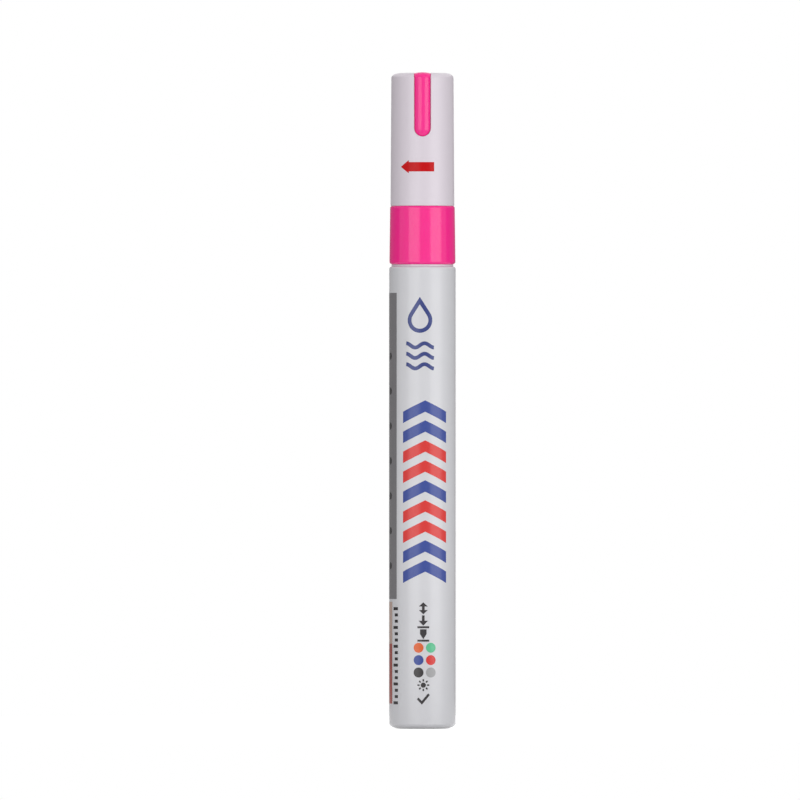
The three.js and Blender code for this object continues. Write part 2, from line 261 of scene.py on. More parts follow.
def screen_ink(name, light, dark, specular=0.5):
    """Screen ink: satin gloss, and a mottle of 0.5 mm where it lies thicker or thinner."""
    mottle_size, mottle_depth = 0.5, 0.0006
    material, tree = empty_material(name)
    place = add_node(tree, "ShaderNodeTexCoord")
    mottle = add_node(tree, "ShaderNodeTexNoise", {"Scale": 1 / (mottle_size * MM), "Detail": 3.0},
                      {"Vector": (place, "Object")})
    tone = add_node(tree, "ShaderNodeMix",
                    {"data_type": "RGBA", 6: colour(light), 7: colour(dark)}, {0: (mottle, 0)})
    gloss = add_node(tree, "ShaderNodeMapRange", {"To Min": 0.22, "To Max": 0.27},
                     {"Value": (mottle, 0)})
    bump = add_node(tree, "ShaderNodeBump", {"Strength": 1.0, "Distance": mottle_depth * MM},
                    {"Height": (mottle, 0)})
    shader = add_node(tree, "ShaderNodeBsdfPrincipled",
                      {"IOR": 1.5, "Specular IOR Level": specular},
                      {"Base Color": (tone, 2), "Roughness": (gloss, 0), "Normal": (bump, 0)})
    add_node(tree, "ShaderNodeOutputMaterial", {}, {"Surface": (shader, 0)})
    return material


def band(outer, inner):
    """The four-sided shapes between two closed outlines with as many points each."""
    pairs = list(zip(outer, inner))
    return [[a, b, d, c] for (a, c), (b, d) in zip(pairs, pairs[1:] + pairs[:1])]


def drop(arc, height, radius, tall, steps=40):
    """Points of a drop: a round foot, and straight flanks that run up from it to a tip."""
    lean = math.acos(radius / tall)
    turns = [math.pi / 2 + lean + (2 * math.pi - 2 * lean) * i / steps for i in range(steps + 1)]
    points = [(arc, height + tall)]
    points += [(arc + radius * math.cos(t), height + radius * math.sin(t)) for t in turns]
    return points


def line(points, width, mitre_limit=0.4):
    """The four-sided shapes of a line of even width through points, with mitred bends."""
    points = [Vector(p) for p in points]
    sides = []
    for i, here in enumerate(points):
        into = (here - points[i - 1]).normalized() if i else None
        out = (points[i + 1] - here).normalized() if i < len(points) - 1 else into
        into = into or out
        across = Vector((-(into.y + out.y), into.x + out.x)).normalized()
        reach = width / 2 / max(mitre_limit, across.dot(Vector((-into.y, into.x))))
        sides.append((tuple(here + across * reach), tuple(here - across * reach)))
    return [[a, b, d, c] for (a, b), (c, d) in zip(sides, sides[1:])]


navy = screen_ink("navy_screen_ink", "#2c3c80", "#273678")
pictogram_arc = -0.55
drop_height, drop_radius, drop_tall, drop_stroke = 85.95, 2.65, 4.9, 0.85
inner_radius = drop_radius - drop_stroke
drop_shapes = band(drop(pictogram_arc, drop_height, drop_radius, drop_tall),
                   drop(pictogram_arc, drop_height, inner_radius,
                        drop_tall * inner_radius / drop_radius))
wave_half, wave_rise, wave_stroke, wave_crests, wave_steps = 3.0, 0.45, 0.8, 1.5, 36
wave_heights = (80.65, 78.45, 76.25)
wave_shares = [2 * i / wave_steps - 1 for i in range(wave_steps + 1)]
wave_shapes = []
for height in wave_heights:
    wave_shapes += line([(pictogram_arc + wave_half * x,
                          height + wave_rise * math.sin(wave_crests * math.pi * x))
                         for x in wave_shares], wave_stroke)
printed("print_pictograms_navy", drop_shapes + wave_shapes, navy)

# Printing: a column of bold chevrons down the barrel's front in blue and red, each about 10 mm
# wide. They are two passes of screen ink, one to a colour, that lie apart on the enamel.
blue = screen_ink("blue_screen_ink", "#31499a", "#2b4190")
red = screen_ink("red_screen_ink", "#de2f2a", "#d42824")
chevron_top, chevron_pitch = 69.1, 4.2
chevron_rise, chevron_stroke = 2.4, 2.4
chevron_left, chevron_right = -4.35, 5.5
chevron_middle = (chevron_left + chevron_right) / 2
chevron_passes = [("blue", blue, (0, 1, 4, 7, 8)), ("red", red, (2, 3, 5, 6))]
for name, ink, rows in chevron_passes:
    chevrons = []
    for row in rows:
        top = chevron_top - row * chevron_pitch
        for side in (chevron_left, chevron_right):
            chevrons.append([(chevron_middle, top), (side, top - chevron_rise),
                             (side, top - chevron_rise - chevron_stroke),
                             (chevron_middle, top - chevron_stroke)])
    printed(f"print_chevrons_{name}", chevrons, ink)

# Printing: small black signs over and under a card of six colour dots, near the barrel's foot. They
# say shake, press, draw, let dry in the light, and ready. Each colour is a pass of screen ink.
black = screen_ink("black_screen_ink", "#2a2628", "#221f22")
sign_arc, sign_half, sign_stroke = 0.18, 1.25, 0.5
shake_height, press_height, draw_height, draw_line_height = 25.4, 22.65, 19.85, 18.8
sun_height, sun_radius, ready_height = 9.25, 0.55, 6.4


def sign(height, points):
    """A sign's own points, from -1 to 1 each way, put in its place in the print."""
    return [(sign_arc + x * sign_half, height + y * sign_half) for x, y in points]


def ring(arc, height, radius, steps=40):
    """Points of a circle in the print, from its right side round."""
    turns = [2 * math.pi * i / steps for i in range(steps)]
    return [(arc + radius * math.cos(t), height + radius * math.sin(t)) for t in turns]


shake = [sign(shake_height, [(0, 1), (-0.75, 0.3), (-0.22, 0.3), (-0.22, -0.3), (-0.75, -0.3),
                             (0, -1), (0.75, -0.3), (0.22, -0.3), (0.22, 0.3), (0.75, 0.3)])]
press = [sign(press_height, [(-0.22, 1), (-0.22, 0.1), (-0.8, 0.1), (0, -0.72), (0.8, 0.1),
                             (0.22, 0.1), (0.22, 1)]),
         sign(press_height, [(-1, -0.82), (-1, -1.15), (1, -1.15), (1, -0.82)])]
draw = [sign(draw_height, [(-0.55, 0.9), (-0.55, 0.1), (0, -0.75), (0.55, 0.1), (0.55, 0.9)]),
        sign(draw_line_height, [(-1, 0.0), (-1, -0.33), (1, -0.33), (1, 0.0)])]
sun = [ring(sign_arc, sun_height, sun_radius, 20)]
for k in range(8):
    turn = math.pi / 4 * k
    beam = [(0.62, -0.13), (1.0, -0.13), (1.0, 0.13), (0.62, 0.13)]
    sun.append(sign(sun_height, [(x * math.cos(turn) - y * math.sin(turn),
                                  x * math.sin(turn) + y * math.cos(turn)) for x, y in beam]))
ready = line(sign(ready_height, [(-0.95, 0.05), (-0.25, -0.7), (0.95, 0.75)]), sign_stroke)
printed("print_signs_black", shake + press + draw + sun + ready, black)

dot_radius, dot_pitch = 1.05, 2.6
card_arc, card_height = 0.48, 14.5
dots = [("orange", screen_ink("orange_screen_ink", "#e2631f", "#da5b1a")),
        ("green", screen_ink("green_screen_ink", "#5cc593", "#54bc8b")),
        ("blue", blue),
        ("red", red),
        ("black", black),
        ("grey", screen_ink("pale_grey_screen_ink", "#a9a9ab", "#a2a2a4"))]
for k, (name, ink) in enumerate(dots):
    arc = card_arc + (k % 2 - 0.5) * dot_pitch
    height = card_height + (1 - k // 2) * dot_pitch
    printed(f"print_dot_{name}", [ring(arc, height, dot_radius)], ink)

# Printing on the barrel's left side: a long grey panel that wraps round to the back, and under it a
# short panel, tan over red-brown, with a scale of ticks along its front edge. A line of black dots
# is printed over the grey. All are screen ink.
panel_back = -math.radians(129) * barrel_radius
panel_front = -math.radians(50.8) * barrel_radius
low_front = -math.radians(65) * barrel_radius
grey_foot, grey_top = 27.3, 91.7
brown_foot, tan_foot, tan_top = 5.3, 17.9, 26.7
grey = screen_ink("grey_screen_ink", "#7f7d80", "#79777a")
tan = screen_ink("tan_screen_ink", "#c4aa9f", "#bda398")
brown = screen_ink("red_brown_screen_ink", "#a84c42", "#a0463d")


def block(left, right, low, high):
    """A rectangle in the print."""
    return [(left, low), (right, low), (right, high), (left, high)]


printed("print_panel_grey", [block(panel_back, panel_front, grey_foot, grey_top)], grey)
printed("print_panel_tan", [block(panel_back, low_front, tan_foot, tan_top)], tan)
printed("print_panel_brown", [block(panel_back, low_front, brown_foot, tan_foot)], brown)
spot_arc, spot_foot, spot_pitch, spot_radius = -8.9, 34.3, 7.35, 0.75
printed("print_dots_black", [ring(spot_arc, spot_foot + spot_pitch * k, spot_radius, 24)
                             for k in range(7)], black, film=2)
tick_front = -math.radians(47.5) * barrel_radius
tick_top, tick_pitch, tick_stroke = 25.6, 1.32, 0.62
long_tick, short_tick = 1.55, 1.05
ticks = []
for k in range(16):
    height = tick_top - k * tick_pitch
    length = long_tick if k % 3 == 0 else short_tick
    ticks.append(block(tick_front - length, tick_front, height - tick_stroke, height))
printed("print_ticks_black", ticks, black)

# Mixing ball. A ground and polished bearing-steel ball lies loose in the barrel and stirs the paint
# when the pen is shaken.
ball_radius, ball_steps = 3.0, 48
ball_outline = []
for i in range(ball_steps + 1):
    angle = math.pi * (i / ball_steps - 0.5)
    reach = ball_radius * math.cos(angle) if 0 < i < ball_steps else 0.0
    ball_outline.append((reach, barrel_floor + ball_radius + ball_radius * math.sin(angle)))
ball = turned("mixing_ball_polished", ball_outline, sides=96)

# Polished steel: a near mirror, with faint scuffs 0.6 mm across from striking the barrel.
scuff_size = 0.6
steel, tree = empty_material("polished_bearing_steel")
place = add_node(tree, "ShaderNodeTexCoord")
scuffs = add_node(tree, "ShaderNodeTexNoise", {"Scale": 1 / (scuff_size * MM), "Detail": 3.0},
                  {"Vector": (place, "Object")})
tone = add_node(tree, "ShaderNodeMix",
                {"data_type": "RGBA", 6: colour("#c6c8cb"), 7: colour("#b4b6ba")},
                {0: (scuffs, 0)})
gloss = add_node(tree, "ShaderNodeMapRange", {"To Min": 0.08, "To Max": 0.24},
                 {"Value": (scuffs, 0)})
shader = add_node(tree, "ShaderNodeBsdfPrincipled", {"Metallic": 1.0},
                  {"Base Color": (tone, 2), "Roughness": (gloss, 0)})
add_node(tree, "ShaderNodeOutputMaterial", {}, {"Surface": (shader, 0)})
ball.data.materials.append(steel)
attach(ball, "ball")
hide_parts("mixing_ball")

# Valve body. One white polypropylene moulding: a plug with three sealing beads in the barrel, a
# flange on the barrel's mouth, a stem for the collar, and the neck that the cap snaps onto.
plug_foot, plug_radius, plug_bore = 86.0, 6.28, 4.78
plug_nose, plug_lead = 0.3, 0.6
sealing_beads, sealing_rise, sealing_width = (88.6, 90.8, 93.0), 0.09, 0.8
groove_foot, groove_radius, groove_slope = 96.22, 6.05, 0.23
flange_radius, flange_top = 6.5, 97.7
stem_top, stem_radius = 110.0, 5.65
neck_radius, neck_top, neck_lead = 5.55, 118.0, 0.5
snap_bead, snap_rise, snap_width = 112.4, 0.14, 1.2
chamber, web_bore, socket = 4.1, 2.5, 4.0
web_foot, web_top, ledge = 110.0, 112.0, 99.0


def bead(radius, rise, width, height):
    """Corners of a low round bead on a straight side, from its foot up."""
    return [(radius, height - width / 2, 0.1), (radius + rise, height - width / 6, 0.15),
            (radius + rise, height + width / 6, 0.15), (radius, height + width / 2, 0.1)]


valve_body = turned("valve_body_moulding", rounded([
    (plug_bore, plug_foot, 0.15),
    (plug_radius - plug_nose, plug_foot, 0.1),
    (plug_radius, plug_foot + plug_lead, 0.3),
    *(corner for height in sealing_beads
      for corner in bead(plug_radius, sealing_rise, sealing_width, height)),
    (plug_radius, groove_foot, 0.05),
    (groove_radius, groove_foot + groove_slope, 0.05),
    (groove_radius, barrel_length, 0.05),
    (flange_radius, barrel_length, 0.05),
    (flange_radius, flange_top, 0.08),
    (stem_radius, flange_top, 0.05),
    (stem_radius, stem_top, 0.03),
    (neck_radius, stem_top, 0.02),
    *bead(neck_radius, snap_rise, snap_width, snap_bead),
    (neck_radius, neck_top - neck_lead, 0.2),
    (neck_radius - neck_lead, neck_top, 0.2),
    (socket, neck_top, 0.1),
    (socket, web_top, 0.1),
    (web_bore, web_top, 0.1),
    (web_bore, web_foot, 0.1),
    (chamber, web_foot, 0.1),
    (chamber, ledge, 0.1),
    (plug_bore, ledge, 0.1),
]))

# Moulded polypropylene: satin white with a faint lilac cast. The mould's spark finish is finer than
# 0.1 mm, too fine to show, so it is drawn 0.6 mm wide and very shallow.
grain_size, grain_depth, flow_size = 0.6, 0.0015, 3
white_plastic, tree = empty_material("moulded_white_polypropylene")
place = add_node(tree, "ShaderNodeTexCoord")
grain = add_node(tree, "ShaderNodeTexNoise", {"Scale": 1 / (grain_size * MM), "Detail": 0.0},
                 {"Vector": (place, "Object")})
flow = add_node(tree, "ShaderNodeTexNoise", {"Scale": 1 / (flow_size * MM), "Detail": 3.0},
                {"Vector": (place, "Object")})
tone = add_node(tree, "ShaderNodeMix",
                {"data_type": "RGBA", 6: colour("#e0d7e0"), 7: colour("#ded5de")},
                {0: (flow, 0)})
gloss = add_node(tree, "ShaderNodeMapRange", {"To Min": 0.28, "To Max": 0.34},
                 {"Value": (flow, 0)})
bump = add_node(tree, "ShaderNodeBump", {"Strength": 1.0, "Distance": grain_depth * MM},
                {"Height": (grain, 0)})
shader = add_node(tree, "ShaderNodeBsdfPrincipled", {"IOR": 1.49},
                  {"Base Color": (tone, 2), "Roughness": (gloss, 0), "Normal": (bump, 0)})
add_node(tree, "ShaderNodeOutputMaterial", {}, {"Surface": (shader, 0)})
valve_body.data.materials.append(white_plastic)
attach(valve_body, "pen")
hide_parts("valve_body")

# Valve seat. A natural polyethylene bush pressed up to the web at the head of the chamber, with a
# conical lower edge that the poppet shuts against.
seat_foot, seat_bore, seat_radius, seat_cone = 106.0, 1.6, 4.05, 1
seat = turned("valve_seat_bush", rounded([
    (seat_bore + seat_cone, seat_foot, 0.05),
    (seat_radius, seat_foot, 0.15),
    (seat_radius, web_foot, 0.15),
    (seat_bore, web_foot, 0.15),
    (seat_bore, seat_foot + seat_cone, 0.1),
]), sides=96)

# Moulded polyethylene: milky, waxy and undyed, with a soft sheen.
haze_size = 2.5
natural_plastic, tree = empty_material("moulded_natural_polyethylene")
place = add_node(tree, "ShaderNodeTexCoord")
haze = add_node(tree, "ShaderNodeTexNoise", {"Scale": 1 / (haze_size * MM), "Detail": 3.0},
                {"Vector": (place, "Object")})
tone = add_node(tree, "ShaderNodeMix",
                {"data_type": "RGBA", 6: colour("#e8e7de"), 7: colour("#dedccf")},
                {0: (haze, 0)})
gloss = add_node(tree, "ShaderNodeMapRange", {"To Min": 0.36, "To Max": 0.5},
                 {"Value": (haze, 0)})
shader = add_node(tree, "ShaderNodeBsdfPrincipled",
                  {"IOR": 1.51, "Subsurface Weight": 0.15, "Subsurface Scale": 0.8 * MM,
                   "Subsurface Radius": (1.0, 0.9, 0.8)},
                  {"Base Color": (tone, 2), "Roughness": (gloss, 0)})
add_node(tree, "ShaderNodeOutputMaterial", {}, {"Surface": (shader, 0)})
seat.data.materials.append(natural_plastic)
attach(seat, "pen")
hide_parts("valve_seat")

# Valve rod. The poppet: a moulded stem whose cone shuts the seat. The nib's back end stands on its
# top, and its tail runs in the cage's floor.
rod_tail, rod_top, rod_radius = 93.0, 112.1, 1.2
guide_radius, poppet_radius, tail_lead = 1.1, 2.7, 0.4
poppet_foot, poppet_rim = 105.05, 105.8
rod = turned("valve_rod_poppet", rounded([
    (0, rod_tail, 0),
    (guide_radius - tail_lead, rod_tail, 0.1),
    (guide_radius, rod_tail + tail_lead, 0.2),
    (guide_radius, poppet_foot, 0.1),
    (poppet_radius, poppet_foot, 0.1),
    (poppet_radius, poppet_rim, 0.1),
    (rod_radius, poppet_rim + poppet_radius - rod_radius, 0.1),
    (rod_radius, rod_top, 0.1),
    (0, rod_top, 0),
]), sides=96)
rod.data.materials.append(natural_plastic)
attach(rod, "nib")
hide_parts("valve_rod")

# Spring cage. A moulded cup pressed up under the seat, with a guide hole in its floor and four
# windows just above it that let the paint in to the valve.
cage_foot, cage_floor, cage_hole, cage_bore, cage_radius = 93.3, 94.5, 1.4, 3.2, 4.05
window_low, window_high, window_width, window_count = 95.2, 98.6, 2.2, 4
cut_over, slot_start, cut_weld = 1, 0.01, 0.001


def cut(piece, tools):
    """Takes the tools' shapes out of a piece, and removes the tools."""
    for tool in tools:
        change = piece.modifiers.new("cut", "BOOLEAN")
        change.operation = "DIFFERENCE"
        change.solver = "EXACT"
        change.object = tool
    shading = piece.modifiers.get("even shading")
    piece.modifiers.remove(shading)
    graph = bpy.context.evaluated_depsgraph_get()
    after = bpy.data.meshes.new_from_object(piece.evaluated_get(graph))
    form = bmesh.new()
    form.from_mesh(after)
    bmesh.ops.remove_doubles(form, verts=form.verts, dist=cut_weld * MM)
    form.to_mesh(after)
    form.free()
    before = piece.data
    piece.modifiers.clear()
    piece.data = after
    after.name = piece.name
    bpy.data.meshes.remove(before)
    for tool in tools:
        bpy.data.meshes.remove(tool.data)
    return smoothed(piece)


def slot_tool(angle, reach, width, low, high):
    """A block from the axis outwards at an angle, to cut a slot with."""
    verts = []
    for height in (low, high):
        for out, side in ((slot_start, -1), (reach, -1), (reach, 1), (slot_start, 1)):
            x, y = out, side * width / 2
            verts.append((x * math.cos(angle) - y * math.sin(angle),
                          x * math.sin(angle) + y * math.cos(angle), height))
    faces = [(3, 2, 1, 0), (4, 5, 6, 7), (0, 1, 5, 4), (1, 2, 6, 5), (2, 3, 7, 6), (3, 0, 4, 7)]
    return piece_from("slot_tool", verts, faces)


cage = turned("spring_cage_cup", rounded([
    (cage_hole, cage_foot, 0.1),
    (cage_radius, cage_foot, 0.3),
    (cage_radius, seat_foot, 0.1),
    (cage_bore, seat_foot, 0.1),
    (cage_bore, cage_floor, 0.2),
    (cage_hole, cage_floor, 0.1),
]), sides=96)
cut(cage, [slot_tool(2 * math.pi / window_count * k, cage_radius + cut_over, window_width,
                     window_low, window_high) for k in range(window_count)])
cage.data.materials.append(natural_plastic)
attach(cage, "pen")
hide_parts("spring_cage")

# Valve spring. A compression spring of 0.5 mm drawn steel wire, eight turns with the end turns
# close, between the cage's floor and the poppet. The real one shortens as the nib is pressed; this
# one is made at its rest length only.
wire_radius, coil_radius = 0.25, 1.85
spring_turns, end_turns, close_pitch = 8, 1, 0.6
end_gap, press_travel = 0.05, 1.8
spring_low = cage_floor + end_gap + wire_radius
spring_high = poppet_foot - end_gap - wire_radius
open_turns = spring_turns - 2 * end_turns
open_pitch = (spring_high - spring_low - 2 * end_turns * close_pitch) / open_turns
steps_per_turn, wire_sides = 36, 14


def spring_point(turn):
    """The middle of the wire, so many turns from its lower end."""
    opened = min(max(turn - end_turns, 0), open_turns)
    height = spring_low + (turn - opened) * close_pitch + opened * open_pitch
    angle = 2 * math.pi * turn
    return Vector((coil_radius * math.cos(angle), coil_radius * math.sin(angle), height))


verts, faces = [], []
steps = spring_turns * steps_per_turn
for i in range(steps + 1):
    turn = i / steps_per_turn
    middle = spring_point(turn)
    ahead = (spring_point(turn + 0.01) - spring_point(turn - 0.01)).normalized()
    outward = Vector((middle.x, middle.y, 0)).normalized()
    upward = ahead.cross(outward).normalized()
    if upward.z < 0:
        upward = -upward
    for k in range(wire_sides):
        angle = 2 * math.pi * k / wire_sides
        spoke = outward * math.cos(angle) + upward * math.sin(angle)
        verts.append(middle + spoke * wire_radius)
for i in range(steps):
    for k in range(wire_sides):
        a, b = i * wire_sides + k, i * wire_sides + (k + 1) % wire_sides
        faces.append((a, a + wire_sides, b + wire_sides, b))
faces.append(list(range(wire_sides)))
faces.append([steps * wire_sides + k for k in reversed(range(wire_sides))])
spring = smoothed(piece_from("valve_spring_coil", verts, faces), edge_angle=40)

# Drawn steel wire: bright metal, with short streaks 0.15 mm wide where the die has drawn it.
streak_width = 0.15
wire, tree = empty_material("drawn_spring_steel")
place = add_node(tree, "ShaderNodeTexCoord")
streaks = add_node(tree, "ShaderNodeTexNoise", {"Scale": 1 / (streak_width * MM), "Detail": 2.0},
                   {"Vector": (place, "Object")})
tone = add_node(tree, "ShaderNodeMix",
                {"data_type": "RGBA", 6: colour("#bfc1c4"), 7: colour("#a6a8ac")},
                {0: (streaks, 0)})
gloss = add_node(tree, "ShaderNodeMapRange", {"To Min": 0.18, "To Max": 0.27},
                 {"Value": (streaks, 0)})
shader = add_node(tree, "ShaderNodeBsdfPrincipled", {"Metallic": 1.0},
                  {"Base Color": (tone, 2), "Roughness": (gloss, 0)})
add_node(tree, "ShaderNodeOutputMaterial", {}, {"Surface": (shader, 0)})
spring.data.materials.append(wire)
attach(spring, "pen")
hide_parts("valve_spring")
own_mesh(spring)

# Collar. A bright pink polypropylene sleeve pushed down the stem. It shows the paint's colour, and
# it fills the space between the barrel and the cap.
sleeve_bore, sleeve_foot_radius, sleeve_top_radius = 5.7, 6.975, 6.815
collar = turned("collar_sleeve", rounded([
    (sleeve_bore, flange_top, 0.05),
    (sleeve_foot_radius, flange_top, 0.6),
    (sleeve_top_radius, stem_top, 0.4),
    (sleeve_bore, stem_top, 0.05),
]))

# Moulded polypropylene, dyed through: deep clean pink with a polished gloss. Long soft flow waves
# of 3 mm barely bend the reflections.
wave_size, wave_depth = 3, 0.004
pink_plastic, tree = empty_material("moulded_pink_polypropylene")
place = add_node(tree, "ShaderNodeTexCoord")
flow = add_node(tree, "ShaderNodeTexNoise", {"Scale": 1 / (wave_size * MM), "Detail": 1.0},
                {"Vector": (place, "Object")})
tone = add_node(tree, "ShaderNodeMix",
                {"data_type": "RGBA", 6: colour("#ff1f93"), 7: colour("#ff178c")},
                {0: (flow, 0)})
gloss = add_node(tree, "ShaderNodeMapRange", {"To Min": 0.13, "To Max": 0.19},
                 {"Value": (flow, 0)})
bump = add_node(tree, "ShaderNodeBump", {"Strength": 1.0, "Distance": wave_depth * MM},
                {"Height": (flow, 0)})
shader = add_node(tree, "ShaderNodeBsdfPrincipled", {"IOR": 1.49},
                  {"Base Color": (tone, 2), "Roughness": (gloss, 0), "Normal": (bump, 0)})
add_node(tree, "ShaderNodeOutputMaterial", {}, {"Surface": (shader, 0)})
collar.data.materials.append(pink_plastic)
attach(collar, "pen")
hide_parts("collar_ring")

# Nib holder. The white snout, moulded in polypropylene and pressed into the neck. Six channels in
# its bore carry the paint along the nib.
holder_foot, spigot_radius, shoulder_radius, shoulder_top = 112.2, 3.95, 4.7, 119.2
land_radius, land_top, cone_foot, mouth_radius, holder_mouth = 3.7, 122.2, 3.5, 2.95, 125.4
nib_bore, channel_depth, channel_width, channel_count = 2.25, 0.3, 0.6, 6
holder = turned("nib_holder_snout", rounded([
    (nib_bore, holder_foot, 0.05),
    (spigot_radius, holder_foot, 0.2),
    (spigot_radius, neck_top, 0.03),
    (shoulder_radius, neck_top, 0.05),
    (shoulder_radius, shoulder_top, 0.4),
    (land_radius, shoulder_top, 0.08),
    (land_radius, land_top, 0.08),
    (cone_foot, land_top, 0.05),
    (mouth_radius, holder_mouth, 0.25),
    (nib_bore, holder_mouth, 0.05),
]), sides=120)
cut(holder, [slot_tool(2 * math.pi / channel_count * k, nib_bore + channel_depth, channel_width,
                       holder_foot - cut_over, holder_mouth + cut_over)
             for k in range(channel_count)])
holder.data.materials.append(white_plastic)
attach(holder, "pen")
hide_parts("nib_holder")

# Nib. A rod of bonded acrylic fibre with a ground bullet point. It slides in the holder, and it
# pushes the poppet open when it is pressed on the work.
nib_radius, nib_back, back_lead = 2.1, 112.1, 0.5
point_foot, nib_tip, point_steps = 127.2, 130.2, 16
point = []
for i in range(point_steps + 1):
    angle = math.pi / 2 * i / point_steps
    point.append(Vector((nib_radius * math.cos(angle) if i < point_steps else 0.0,
                         point_foot + (nib_tip - point_foot) * math.sin(angle))))
nib = turned("nib_bullet", rounded([
    (0, nib_back, 0),
    (nib_radius - back_lead, nib_back, 0.1),
    (nib_radius, nib_back + back_lead, 0.2),
])[:-1] + point, sides=96)

# Bonded fibre: dull and off-white, with fibres along the rod. The real ones are about 0.03 mm wide,
# too fine to show, so they are drawn 0.15 mm wide.
strand_width, strand_length, strand_depth = 0.15, 3, 0.03
fibre, tree = empty_material("bonded_acrylic_fibre")
place = add_node(tree, "ShaderNodeTexCoord")
stretch = add_node(tree, "ShaderNodeMapping",
                   {"Scale": (1 / (strand_width * MM), 1 / (strand_width * MM),
                              1 / (strand_length * MM))},
                   {"Vector": (place, "Object")})
strands = add_node(tree, "ShaderNodeTexNoise", {"Scale": 1.0, "Detail": 3.0},
                   {"Vector": (stretch, 0)})
tone = add_node(tree, "ShaderNodeMix",
                {"data_type": "RGBA", 6: colour("#f4efe3"), 7: colour("#ddd5c4")},
                {0: (strands, 0)})
bump = add_node(tree, "ShaderNodeBump", {"Strength": 0.8, "Distance": strand_depth * MM},
                {"Height": (strands, 0)})
shader = add_node(tree, "ShaderNodeBsdfPrincipled", {"Roughness": 0.85, "IOR": 1.49},
                  {"Base Color": (tone, 2), "Normal": (bump, 0)})
add_node(tree, "ShaderNodeOutputMaterial", {}, {"Surface": (shader, 0)})
nib.data.materials.append(fibre)
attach(nib, "nib")
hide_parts("nib")

# Cap shell. A push-on cap in white polypropylene, with a slight taper for the mould and a softly
# rounded crown. A shallow pocket runs up its front and over the crown for the pink tongue.
cap_mouth, cap_top = 110.0, 138.0
cap_foot_radius, cap_crown_radius = 6.715, 6.55
crown_reach, crown_rise = 1.8, 1.05
cap_bore_foot, cap_bore_top, cap_ceiling = 5.8, 5.62, 136.6
tongue_half, tongue_end = 1.75, 124.6
pocket_gap, pocket_depth, pocket_over = 0.05, 0.55, 0.6
crown_flat = cap_crown_radius - crown_reach
tongue_side = cap_top - crown_rise - (tongue_end + tongue_half)
crown_bend = math.pi / 2 * (crown_reach + crown_rise) / 2


def cap_radius_at(height):
    """The radius of the cap's side at a height."""
    share = (height - cap_mouth) / (cap_top - crown_rise - cap_mouth)
    return cap_foot_radius + (cap_crown_radius - cap_foot_radius) * share


def on_cap(across, along, lift):
    """A point over the cap's front. Along is 0 at the tongue's lower centre, and it runs up the
    side, round the crown's edge and over the top to the axis."""
    if along <= tongue_side:
        height = tongue_end + tongue_half + along
        radius, turn = cap_radius_at(height), 0.0
    else:
        turn = min((along - tongue_side) / crown_bend, 1.0) * math.pi / 2
        radius = crown_flat + crown_reach * math.cos(turn)
        height = cap_top - crown_rise * (1 - math.sin(turn))
    inward = along - tongue_side - crown_bend
    if inward > 0:
        bulge = crown_flat - math.sqrt(crown_flat ** 2 - across ** 2)
        depth = crown_flat - inward - bulge * max(0.0, 1 - inward / (crown_flat - tongue_half))
        return Vector((across, -depth, cap_top + lift))
    depth = math.sqrt(radius ** 2 - across ** 2)
    spoke = Vector((across, -depth, 0)).normalized()
    outward = spoke * math.cos(turn) / crown_reach + Vector((0, 0, math.sin(turn) / crown_rise))
    return Vector((across, -depth, height)) + outward.normalized() * lift


def tongue_shape(name, rings):
    """A closed form over the cap's front from rings of (half width, lift on the side, lift on the
    crown). Each ring is a long round-ended outline, and the first and the last close the form."""
    side_steps, bend_steps, flat_steps, end_steps = 12, 18, 8, 16
    bend_end = tongue_side + crown_bend
    reach = bend_end + crown_flat
    stations = [tongue_side * k / side_steps for k in range(side_steps + 1)]
    stations += [tongue_side + crown_bend * k / bend_steps for k in range(1, bend_steps + 1)]
    stations += [bend_end + crown_flat * k / flat_steps for k in range(1, flat_steps + 1)]
    round_end = [(math.cos(math.pi * k / end_steps), math.sin(math.pi * k / end_steps))
                 for k in range(1, end_steps)]
    verts, faces = [], []
    for half, side_lift, crown_lift in rings:
        outline = [(-half * x, -half * y) for x, y in round_end]
        outline += [(half, along) for along in stations]
        outline += [(half * x, reach + half * y) for x, y in round_end]
        outline += [(-half, along) for along in reversed(stations)]
        for across, along in outline:
            share = min(max((along - tongue_side) / crown_bend, 0.0), 1.0)
            lift = side_lift + (crown_lift - side_lift) * share * share * (3 - 2 * share)
            verts.append(on_cap(across, along, lift))
    count = len(verts) // len(rings)
    for r in range(len(rings) - 1):
        for k in range(count):
            a, b = r * count + k, r * count + (k + 1) % count
            faces.append((a, b, b + count, a + count))
    made = piece_from(name, verts, faces)
    form = bmesh.new()
    form.from_mesh(made.data)
    bmesh.ops.remove_doubles(form, verts=form.verts, dist=weld_gap * MM)
    bmesh.ops.recalc_face_normals(form, faces=form.faces)
    form.to_mesh(made.data)
    form.free()
    return made


crown_corner = [(crown_flat + crown_reach * math.cos(turn),
                 cap_top - crown_rise * (1 - math.sin(turn)), 0) for turn in quarter_turn]
cap = turned("cap_shell_moulding", rounded([
    (0, cap_ceiling, 0),
    (cap_bore_top, cap_ceiling, 0.3),
    (cap_bore_foot, cap_mouth, 0.15),
    (cap_foot_radius, cap_mouth, 0.15),
    *crown_corner,
    (0, cap_top, 0),
]), sides=192)
pocket_half = tongue_half + pocket_gap
pocket = tongue_shape("pocket_tool", [(half, lift, lift) for half, lift in (
    (0, -pocket_depth), (pocket_half / 2, -pocket_depth), (pocket_half, -pocket_depth),
    (pocket_half, pocket_over), (pocket_half / 2, pocket_over), (0, pocket_over))])
cut(cap, [pocket])
cap.data.materials.append(white_plastic)
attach(cap, "cap")
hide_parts("cap_shell")

